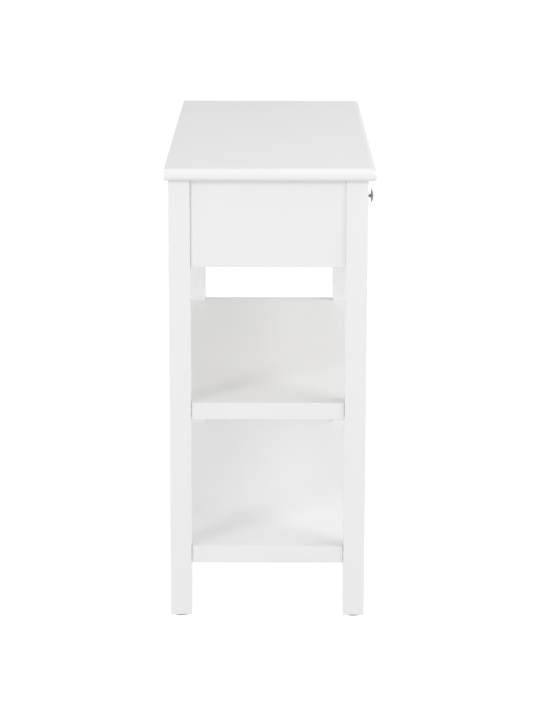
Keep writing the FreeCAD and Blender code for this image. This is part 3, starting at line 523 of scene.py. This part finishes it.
# Electroplated zinc on steel is bright, a little blue, and clouded in patches a few millimetres wide.
zinc_cloud = 0.003
zinc_plate, tree, shader = finish("zinc_plated_steel", {"Metallic": 1, "Roughness": 0.3})
here = add(tree, "ShaderNodeTexCoord").outputs["Object"]
cloud = add(tree, "ShaderNodeTexNoise", {"Vector": here, "Scale": 1 / zinc_cloud, "Detail": 3})
tone = add(tree, "ShaderNodeMix", {
    "Factor": cloud, "A": linear("#C3C7CE"), "B": linear("#D2D1C9")}, data_type="RGBA")
shine = add(tree, "ShaderNodeMapRange", {"Value": cloud, "To Min": 0.24, "To Max": 0.4})
tree.links.new(tone.outputs["Result"], shader.inputs["Base Color"])
tree.links.new(shine.outputs["Result"], shader.inputs["Roughness"])
frame["nodes"]["cam_bolts"].material_slots[0].material = zinc_plate

# Bare zinc as it leaves the die is dull grey, faintly pitted, with cells under 1 mm.
zinc_pit = 0.0009
cast_zinc, tree, shader = finish("die_cast_zinc", {"Metallic": 1, "Roughness": 0.5})
here = add(tree, "ShaderNodeTexCoord").outputs["Object"]
pits = add(tree, "ShaderNodeTexNoise", {"Vector": here, "Scale": 1 / zinc_pit, "Detail": 3})
bump = add(tree, "ShaderNodeBump", {"Height": pits, "Strength": 0.35, "Distance": 0.00015})
tone = add(tree, "ShaderNodeMix", {
    "Factor": pits, "A": linear("#9C9EA0"), "B": linear("#B4B5B6")}, data_type="RGBA")
tree.links.new(tone.outputs["Result"], shader.inputs["Base Color"])
tree.links.new(bump.outputs["Normal"], shader.inputs["Normal"])

# The cam's open face is drawn in like a chamfer. It has a cross recess, and an arrow that shows where the
# bolt comes in. The recess's length and the arrow's place are shares of the cam's width. A block that cuts
# the recess is centred on the face, so it is twice as high as the recess is deep.
face_level = 0.0001
face_share = 0.94
recess_share = 0.6
arrow_share = 0.38
cam_inputs = {"Diameter": "Float", "Depth": "Float", "Bolt Bore": "Float", "Bolt Level": "Float"}
cam_inputs |= {"Recess Width": "Float", "Recess Depth": "Float", "Material": "Material"}
tree, group, output = new_tree("cam_locks", cam_inputs)
radius = add(tree, "ShaderNodeMath", {0: group["Diameter"], 1: 0.5}, operation="MULTIPLY")
drum = add(tree, "GeometryNodeMeshCylinder", {
    "Vertices": 40, "Side Segments": 12, "Radius": radius, "Depth": group["Depth"]})
half_depth = add(tree, "ShaderNodeMath", {0: group["Depth"], 1: 0.5}, operation="MULTIPLY")
drum_place = add(tree, "ShaderNodeCombineXYZ", {"Z": half_depth})
drum = add(tree, "GeometryNodeTransform", {"Geometry": drum, "Translation": drum_place})
height = add(tree, "ShaderNodeSeparateXYZ", {"Vector": add(tree, "GeometryNodeInputPosition")}).outputs["Z"]
at_face = add(tree, "ShaderNodeMath", {0: height, 1: face_level}, operation="LESS_THAN")
drawn_in = add(tree, "ShaderNodeVectorMath", {
    0: add(tree, "GeometryNodeInputPosition"), 1: (face_share, face_share, 1)}, operation="MULTIPLY")
drum = add(tree, "GeometryNodeSetPosition", {"Geometry": drum, "Selection": at_face, "Position": drawn_in})
recess_length = add(tree, "ShaderNodeMath", {0: group["Diameter"], 1: recess_share}, operation="MULTIPLY")
recess_height = add(tree, "ShaderNodeMath", {0: group["Recess Depth"], 1: 2}, operation="MULTIPLY")
cut_lines = []
for sizes in ((recess_length, group["Recess Width"]), (group["Recess Width"], recess_length)):
    size = add(tree, "ShaderNodeCombineXYZ", {"X": sizes[0], "Y": sizes[1], "Z": recess_height})
    cut_lines.append(add(tree, "GeometryNodeMeshCube", {"Size": size}))
arrow = add(tree, "GeometryNodeMeshCylinder", {
    "Vertices": 3, "Radius": group["Recess Width"], "Depth": group["Recess Width"]})
arrow_reach = add(tree, "ShaderNodeMath", {0: group["Diameter"], 1: arrow_share}, operation="MULTIPLY")
arrow_place = add(tree, "ShaderNodeCombineXYZ", {"X": arrow_reach})
arrow = add(tree, "GeometryNodeTransform", {"Geometry": arrow, "Translation": arrow_place})
bore_radius = add(tree, "ShaderNodeMath", {0: group["Bolt Bore"], 1: 0.5}, operation="MULTIPLY")
bore = add(tree, "GeometryNodeMeshCylinder", {
    "Vertices": 24, "Radius": bore_radius, "Depth": group["Diameter"]})
bore_place = add(tree, "ShaderNodeCombineXYZ", {"X": radius, "Z": group["Bolt Level"]})
bore = add(tree, "GeometryNodeTransform", {
    "Geometry": bore, "Translation": bore_place, "Rotation": (0, math.pi / 2, 0)})
cam = add(tree, "GeometryNodeMeshBoolean", {"Mesh 1": drum}, operation="DIFFERENCE")
for cutter in (*cut_lines, arrow, bore):
    tree.links.new(cutter.outputs[0], cam.inputs["Mesh 2"])
set_out(tree, group, output, cam)

cam_places = []
for corners in solids("cam_locks"):
    low, high = extent(corners)
    size = high - low
    middle = (low + high) / 2
    axis = min(range(3), key=lambda index: size[index])
    middle[axis] = low[axis]
    way = Vector([1 if index == axis else 0 for index in range(3)])
    cam_places.append((middle, way, Vector((math.copysign(1, middle.x), 0, 0))))
cam_sizes = {"Diameter": max(size), "Depth": min(size), "Bolt Bore": 0.0062, "Bolt Level": 0.006}
cam_sizes |= {"Recess Width": 0.0016, "Recess Depth": 0.0025, "Material": cast_zinc}
repeat("quarter_turn_cams", tree, "cam_locks", cam_places, cam_sizes)

# -------------------------------------------------------------------------------------- screws
# Countersunk zinc-plated wood screws hold the top, cleats, runners, shelf panels and drawer boxes. Their
# heads lie flush and have a cross recess, each turned as the driver left it.

# Two blocks centred on the head's face cut the cross recess, so half of a block's height goes in. Their
# length and width are shares of the head's width. Their height and the shank's start are shares of its
# height.
slot_long = 0.56
slot_wide = 0.13
block_high = 1.5
shank_from = 0.8
screw_inputs = {"Face Diameter": "Float", "Seat Diameter": "Float", "Head Height": "Float"}
screw_inputs |= {"Shank Diameter": "Float", "Length": "Float", "Pitch": "Float", "Point": "Float"}
screw_inputs |= {"Seed": "Int", "Material": "Material"}
tree, group, output = new_tree("cross_recess_screws", screw_inputs)
face_radius = add(tree, "ShaderNodeMath", {0: group["Face Diameter"], 1: 0.5}, operation="MULTIPLY")
seat_radius = add(tree, "ShaderNodeMath", {0: group["Seat Diameter"], 1: 0.5}, operation="MULTIPLY")
head = add(tree, "GeometryNodeMeshCone", {
    "Vertices": 32, "Radius Bottom": face_radius, "Radius Top": seat_radius, "Depth": group["Head Height"]})
slot_length = add(tree, "ShaderNodeMath", {0: group["Face Diameter"], 1: slot_long}, operation="MULTIPLY")
slot_width = add(tree, "ShaderNodeMath", {0: group["Face Diameter"], 1: slot_wide}, operation="MULTIPLY")
recess_height = add(tree, "ShaderNodeMath", {0: group["Head Height"], 1: block_high}, operation="MULTIPLY")
cut = add(tree, "GeometryNodeMeshBoolean", {"Mesh 1": head}, operation="DIFFERENCE")
for sizes in ((slot_length, slot_width), (slot_width, slot_length)):
    size = add(tree, "ShaderNodeCombineXYZ", {"X": sizes[0], "Y": sizes[1], "Z": recess_height})
    tree.links.new(add(tree, "GeometryNodeMeshCube", {"Size": size}).outputs[0], cut.inputs["Mesh 2"])

# The thread is a shallow wave that climbs one pitch in each turn and repeats every two, so it is out of
# step along one side of the shank. Its root and the screw's point are shares of the shank's width.
rows_per_turn = 4
root_share = 0.72
point_share = 0.12
shank_radius = add(tree, "ShaderNodeMath", {0: group["Shank Diameter"], 1: 0.5}, operation="MULTIPLY")
shank_start = add(tree, "ShaderNodeMath", {0: group["Head Height"], 1: shank_from}, operation="MULTIPLY")
shank_length = add(tree, "ShaderNodeMath", {0: group["Length"], 1: shank_start}, operation="SUBTRACT")
turns = add(tree, "ShaderNodeMath", {0: shank_length, 1: group["Pitch"]}, operation="DIVIDE")
rows = add(tree, "ShaderNodeMath", {0: turns, 1: rows_per_turn}, operation="MULTIPLY")
shank = add(tree, "GeometryNodeMeshCylinder", {
    "Vertices": 12, "Side Segments": rows, "Radius": shank_radius, "Depth": shank_length})
shank_middle = add(tree, "ShaderNodeMath", {0: shank_length, 1: 0.5}, operation="MULTIPLY")
shank_middle = add(tree, "ShaderNodeMath", {0: shank_middle, 1: shank_start}, operation="ADD")
shank_place = add(tree, "ShaderNodeCombineXYZ", {"Z": shank_middle})
shank = add(tree, "GeometryNodeTransform", {"Geometry": shank, "Translation": shank_place})
place = add(tree, "GeometryNodeInputPosition")
spot = add(tree, "ShaderNodeSeparateXYZ", {"Vector": place}).outputs
climb = add(tree, "ShaderNodeMath", {0: spot["Z"], 1: group["Pitch"]}, operation="DIVIDE")
angle = add(tree, "ShaderNodeMath", {0: spot["Y"], 1: spot["X"]}, operation="ARCTAN2")
part_turn = add(tree, "ShaderNodeMath", {0: angle, 1: math.tau}, operation="DIVIDE")
phase = add(tree, "ShaderNodeMath", {0: climb, 1: part_turn}, operation="SUBTRACT")
wave = add(tree, "ShaderNodeMath", {0: phase, 1: 1}, operation="PINGPONG")
depth = add(tree, "ShaderNodeMapRange", {"Value": wave, "To Min": 1, "To Max": root_share})
point_start = add(tree, "ShaderNodeMath", {0: group["Length"], 1: group["Point"]}, operation="SUBTRACT")
taper = {"Value": spot["Z"], "From Min": point_start, "From Max": group["Length"]}
point = add(tree, "ShaderNodeMapRange", taper | {"To Min": 1, "To Max": point_share})
share = add(tree, "ShaderNodeMath", {0: depth, 1: point}, operation="MULTIPLY")
narrowed = add(tree, "ShaderNodeCombineXYZ", {"X": share, "Y": share, "Z": 1})
threaded = add(tree, "ShaderNodeVectorMath", {0: place, 1: narrowed}, operation="MULTIPLY")
shank = add(tree, "GeometryNodeSetPosition", {"Geometry": shank, "Position": threaded})
screw = add(tree, "GeometryNodeJoinGeometry")
for part in (cut, shank):
    tree.links.new(part.outputs[0], screw.inputs[0])
chance = {"Min": 0, "Max": math.tau, "Seed": group["Seed"]}
turn = add(tree, "FunctionNodeRandomValue", chance, data_type="FLOAT")
set_out(tree, group, output, screw, turned=turn)
screw_tree = tree

# Corners this near the greatest reach from a screw's axis are on its head's rim. A pan head's face is
# narrower than its seat.
rim_share = 0.99
pan_face_share = 0.8


def screws(name, node, seed, head_height, pan=False):
    """Screws in place of a CAD node's plain ones, one piece for each length of screw.

    The shank is as wide as twice the least reach from the axis. That is nothing on a CAD screw with a point,
    so its head narrows to a tip and its shank has no width. Only the knobs' screws show a threaded shank.
    """
    places = {}
    for corners in solids(node):
        low, high = extent(corners)
        size = high - low
        middle = (low + high) / 2
        axis = max(range(3), key=lambda index: size[index])
        first, second = [index for index in range(3) if index != axis]
        reach = {tuple(p): math.hypot(p[first] - middle[first], p[second] - middle[second])
                 for p in corners}
        head = [p[axis] for p in reach if reach[p] > max(reach.values()) * rim_share]
        starts_low = sum(head) / len(head) < middle[axis]
        middle[axis] = low[axis] if starts_low else high[axis]
        way = Vector([(1 if starts_low else -1) if index == axis else 0 for index in range(3)])
        toward = Vector([1 if index == first else 0 for index in range(3)])
        places.setdefault(round(max(size), 4), []).append((middle, way, toward))
    widest, shank = 2 * max(reach.values()), 2 * min(reach.values())
    sizes = {"Face Diameter": widest * (pan_face_share if pan else 1)}
    sizes |= {"Seat Diameter": widest if pan else shank}
    sizes |= {"Head Height": head_height, "Shank Diameter": shank, "Pitch": 0.0018, "Point": 0.004}
    for length, same_length in places.items():
        sizes |= {"Length": length, "Seed": seed, "Material": zinc_plate}
        repeat(f"{name}_{length * 1000:.0f}_mm", screw_tree, node, same_length, sizes)


head_4_mm = 0.002
head_3_mm = 0.0015
screws("top_wood_screws", "top_fixing_screws", 1, head_4_mm)
screws("cleat_wood_screws", "cleat_screws", 2, head_4_mm)
screws("runner_wood_screws", "runner_screws", 3, head_4_mm)
screws("shelf_wood_screws", "shelf_panel_screws", 4, head_3_mm)

# -------------------------------------------------------------------------------------- runners
# Each drawer slides on two planed beech strips that run in grooves in its sides, the outer one screwed to a
# side apron and the inner one to the partition. The edges are eased so that the groove rides over them.

for side in ("left", "right"):
    for hand in ("outer", "inner"):
        node = f"{side}_drawer_{hand}_runner"
        ease_edges(stand_in_for(node, board_mesh(f"{node}_strip", *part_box(node)), beech["y"]), strip_edge)

# -------------------------------------------------------------------------------------- drawers
# Each drawer has a white lacquered front with a box behind it: two solid sides dowelled to the front, a back
# screwed between them, and a hardboard bottom slid into grooves from behind.

front_edge = 0.001
box_edge = 0.0008
groove_play = 0.0005
bottom_play = 0.0001
bottom_groove = 0.005
sharp_back = 0.006

# The box is pale birch, sanded and given one thin coat of clear lacquer.
birch_year = 0.009
drawer_wood = {
    axis: planed_wood(f"clear_lacquered_birch_along_{axis}", "#E8D8BB", "#DBC6A1", "#CBB083", axis,
                      birch_year, roughness=0.42) for axis in "xy"}

# Hardboard is pressed wood fibre, brown and felted, with fibres about 0.3 mm thick, drawn at 0.8 mm.
core_fibre = 0.0008
hardboard_core, tree, shader = finish("pressed_hardboard", {"IOR": 1.5, "Roughness": 0.75})
here = add(tree, "ShaderNodeTexCoord").outputs["Object"]
fibres = add(tree, "ShaderNodeTexNoise", {
    "Vector": here, "Scale": 1 / core_fibre, "Detail": 4, "Distortion": 1.5})
bump = add(tree, "ShaderNodeBump", {"Height": fibres, "Strength": 0.3, "Distance": 0.0002})
tone = add(tree, "ShaderNodeMix", {
    "Factor": fibres, "A": linear("#7A5636"), "B": linear("#97714B")}, data_type="RGBA")
tree.links.new(tone.outputs["Result"], shader.inputs["Base Color"])
tree.links.new(bump.outputs["Normal"], shader.inputs["Normal"])

# Both its faces are printed white. The print is thin, so the fibre still shows through as a faint mottle.
print_mottle = 0.0015
white_print, tree, shader = finish("white_printed_hardboard", {"IOR": 1.5, "Roughness": 0.5})
here = add(tree, "ShaderNodeTexCoord").outputs["Object"]
fibres = add(tree, "ShaderNodeTexNoise", {
    "Vector": here, "Scale": 1 / print_mottle, "Detail": 4, "Distortion": 1})
bump = add(tree, "ShaderNodeBump", {"Height": fibres, "Strength": 0.12, "Distance": 0.0002})
tone = add(tree, "ShaderNodeMix", {
    "Factor": fibres, "A": linear("#DEDCD6"), "B": linear("#E8E6E1")}, data_type="RGBA")
tree.links.new(tone.outputs["Result"], shader.inputs["Base Color"])
tree.links.new(bump.outputs["Normal"], shader.inputs["Normal"])


def routed(mesh, *grooves):
    """The mesh with boxes cut out of it, each given by two corners."""
    work = bpy.data.objects.new("work_piece", mesh)
    scene.collection.objects.link(work)
    cutters = []
    for low, high in grooves:
        cutter = bpy.data.objects.new("router_cut", board_mesh("router_cut", low, high))
        scene.collection.objects.link(cutter)
        cut = work.modifiers.new("groove", "BOOLEAN")
        cut.operation = "DIFFERENCE"
        cut.solver = "EXACT"
        cut.object = cutter
        cutters.append(cutter)
    evaluated = work.evaluated_get(bpy.context.evaluated_depsgraph_get())
    result = bpy.data.meshes.new_from_object(evaluated)
    result.name = mesh.name
    for spare in (work, *cutters):
        bpy.data.objects.remove(spare)
    return result


for side in ("left", "right"):
    drawer = f"{side}_drawer"
    bottom_low, bottom_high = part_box(f"{drawer}_bottom")
    sheet_play = Vector((bottom_play, 0, bottom_play))
    tongue = bottom_low - sheet_play, bottom_high + sheet_play

    node = f"{drawer}_front"
    low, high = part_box(node)
    groove = Vector((tongue[0].x, high.y - bottom_groove, tongue[0].z)), tongue[1]
    front = stand_in_for(node, routed(board_mesh(f"{node}_panel", low, high), groove), white_lacquer)
    ease_edges(front, front_edge, segments=4, crisp=lambda point: point.y > high.y - sharp_back)

    for hand in ("left", "right"):
        node = f"{drawer}_{hand}_side"
        low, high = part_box(node)
        runner = f"{drawer}_outer_runner" if hand == side else f"{drawer}_inner_runner"
        runner_low, runner_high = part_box(runner)
        runner_play = Vector((groove_play, groove_play, groove_play))
        runner_groove = runner_low - runner_play, runner_high + runner_play
        bottom_line = tongue[0], tongue[1] + Vector((0, bottom_groove, 0))
        mesh = routed(board_mesh(f"{node}_board", low, high), runner_groove, bottom_line)
        ease_edges(stand_in_for(node, mesh, drawer_wood["y"]), box_edge, segments=2)

    node = f"{drawer}_back"
    ease_edges(stand_in_for(node, board_mesh(f"{node}_board", *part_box(node)), drawer_wood["x"]), box_edge)

    mesh = board_mesh(f"{drawer}_bottom_sheet", bottom_low, bottom_high)
    mesh.materials.append(hardboard_core)
    mesh.materials.append(white_print)
    for face in mesh.polygons:
        face.material_index = 1 if abs(face.normal.z) > 0.5 else 0
    stand_in_for(f"{drawer}_bottom", mesh, None)
    screws(f"{drawer}_box_wood_screws", f"{drawer}_box_screws", 5, head_3_mm)

# -------------------------------------------------------------------------------------- knobs
# Each drawer has one small knob of cast zinc, turned after casting and plated the dull grey of old pewter.
# A thin neck carries a wide head with a flat back, a fine rim and a low dome. A screw from inside holds it.

# The plating is darker where polishing missed it, in patches of about 4 mm. The turning tool left rings a
# few tenths of a millimetre apart, drawn 3 mm apart; a wave repeats every tau / 20 at a scale of 1.
patina_patch = 0.004
ring_spacing = 0.0005 * math.tau
pewter, tree, shader = finish("old_pewter_plating", {"Metallic": 1, "Roughness": 0.36})
here = add(tree, "ShaderNodeTexCoord").outputs["Object"]
patina = add(tree, "ShaderNodeTexNoise", {
    "Vector": here, "Scale": 1 / patina_patch, "Detail": 4, "Roughness": 0.6})
tone = add(tree, "ShaderNodeMix", {
    "Factor": patina, "A": linear("#75736D"), "B": linear("#A4A39C")}, data_type="RGBA")
shine = add(tree, "ShaderNodeMapRange", {"Value": patina, "To Min": 0.5, "To Max": 0.3})
tool_rings = add(tree, "ShaderNodeTexWave", {
    "Vector": here, "Scale": math.tau / 20 / ring_spacing, "Distortion": 1.5}, bands_direction="Y")
bump = add(tree, "ShaderNodeBump", {"Height": tool_rings, "Strength": 0.15, "Distance": 0.0001})
tree.links.new(tone.outputs["Result"], shader.inputs["Base Color"])
tree.links.new(shine.outputs["Result"], shader.inputs["Roughness"])
tree.links.new(bump.outputs["Normal"], shader.inputs["Normal"])

knob_steps = 64
knob_crease = math.radians(40)
pan_head = 0.0018


def bent(start, first_pull, second_pull, finish_point, steps):
    """A bend in the knob's outline, given as radius and reach in mm, as points in metres."""
    four = [Vector((*point, 0)) for point in (start, first_pull, second_pull, finish_point)]
    return [(point.x / 1000, point.y / 1000) for point in interpolate_bezier(*four, steps)]


# From the drawer's face outwards: a small foot, a neck that narrows, the head's back, its rim and its dome.
knob_outline = [(0.0, 0.0)]
knob_outline += bent((4.3, 0), (4.6, 0.1), (4.6, 0.9), (4.2, 1.3), 5)
knob_outline += bent((3.9, 1.5), (3.2, 1.9), (2.8, 3.4), (2.7, 6.5), 8)
knob_outline += bent((2.65, 8), (2.5, 12), (2.5, 14.7), (4, 14.9), 9)
knob_outline += bent((5.5, 15), (7.4, 15.05), (9.2, 15.1), (10.4, 15.15), 4)
knob_outline += bent((10.6, 15.2), (11.05, 15.35), (11.05, 16.15), (10.6, 16.3), 7)
knob_outline += bent((10.3, 16.35), (9.9, 16.45), (9.7, 16.6), (9.3, 16.8), 4)
knob_outline += bent((8.5, 17.1), (6.5, 18.3), (3.5, 19), (0, 19), 12)

for side in ("left", "right"):
    node = f"{side}_drawer_knob"
    low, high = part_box(node)
    middle = (low + high) / 2
    bm = bmesh.new()
    pole, tip = (bm.verts.new((middle.x, high.y - reach, middle.z)) for reach in (0, high.y - low.y))
    rings = []
    for radius, reach in knob_outline[1:-1]:
        ring = []
        for step in range(knob_steps):
            a = math.tau * step / knob_steps
            across, up = radius * math.cos(a), radius * math.sin(a)
            ring.append(bm.verts.new((middle.x + across, high.y - reach, middle.z + up)))
        rings.append(ring)
    for step in range(knob_steps):
        following = (step + 1) % knob_steps
        bm.faces.new((pole, rings[0][step], rings[0][following]))
        bm.faces.new((tip, rings[-1][following], rings[-1][step]))
        for inner, outer in zip(rings, rings[1:]):
            bm.faces.new((inner[step], outer[step], outer[following], inner[following]))
    knob_mesh = shell_mesh(f"{node}_turned", bm)
    knob_mesh.shade_smooth()
    knob_mesh.set_sharp_from_angle(angle=knob_crease)
    stand_in_for(node, knob_mesh, pewter)
    screws(f"{side}_drawer_pan_screw", f"{side}_drawer_knob_screw", 6, pan_head, pan=True)

# -------------------------------------------------------------------------------------- studio
# The table stands on a wide sheet of white acrylic lit from behind, in a white room. Two large softboxes
# light its front and back, and two smaller ones cross their light from either side of its left end.

acrylic, tree, shader = finish("backlit_white_acrylic", {
    "Base Color": linear("#959595"), "Roughness": 0.9,
    "Emission Color": linear("#FFFFFF"), "Emission Strength": 0.83})
floor_reach = 40
floor_mesh = bpy.data.meshes.new("studio_floor")
floor_corners = [(x * floor_reach, y * floor_reach, 0) for x, y in ((-1, -1), (1, -1), (1, 1), (-1, 1))]
floor_mesh.from_pydata(floor_corners, [], [(0, 1, 2, 3)])
floor_mesh.materials.append(acrylic)
floor = bpy.data.objects.new("studio_floor", floor_mesh)
scene.collection.objects.link(floor)

# The room is white, a little brighter below the floor's level than above it. The sheet neither lights the
# table nor shades it, so undersides are lit by the room alone.
floor.visible_diffuse = False
floor.visible_shadow = False
room_above = 0.585
room_below = 0.715
horizon = 0.02
world = bpy.data.worlds.new("studio_room")
scene.world = world
world.use_nodes = True
tree = world.node_tree
direction = add(tree, "ShaderNodeTexCoord").outputs["Generated"]
toward = add(tree, "ShaderNodeSeparateXYZ", {"Vector": direction}).outputs
glow = add(tree, "ShaderNodeMapRange", {
    "Value": toward["Z"], "From Min": -horizon, "From Max": horizon,
    "To Min": room_below, "To Max": room_above})
tree.links.new(glow.outputs[0], tree.nodes["Background"].inputs["Strength"])
tree.nodes["Background"].inputs["Color"].default_value = linear("#FFFFFF")


table_middle = Vector((0, 0, 0.45))


def softbox(name, place, size, power):
    """A square softbox that faces the middle of the table."""
    data = bpy.data.lights.new(name, "AREA")
    data.size, data.energy = size, power
    lamp = bpy.data.objects.new(name, data)
    lamp.location = place
    lamp.rotation_euler = (table_middle - lamp.location).to_track_quat("-Z", "Y").to_euler()
    scene.collection.objects.link(lamp)


softbox("front_softbox", (-0.5, -2.3, 2.6), size=2.0, power=32)
softbox("rear_softbox", (-0.5, 2.9, 1.4), size=2.2, power=15)
softbox("front_end_softbox", (-2.7, -3.0, 2.0), size=1.2, power=25)
softbox("rear_end_softbox", (-3.3, 2.3, 2.15), size=1.2, power=33)

# The camera looks along the table from its left end, a little above it.
camera_data = bpy.data.cameras.new("camera")
camera_data.lens = 122.1
camera = bpy.data.objects.new("camera", camera_data)
camera.location = (-4.2899, -0.0043, 1.3273)
pitch, yaw, roll = (math.radians(angle) for angle in (-13.02, 0.094, 0.13))
facing = Matrix.Rotation(yaw - math.pi / 2, 4, "Z") @ Matrix.Rotation(math.pi / 2 + pitch, 4, "X")
camera.rotation_euler = (facing @ Matrix.Rotation(roll, 4, "Z")).to_euler()
scene.collection.objects.link(camera)
scene.camera = camera
scene.view_settings.view_transform = "Standard"
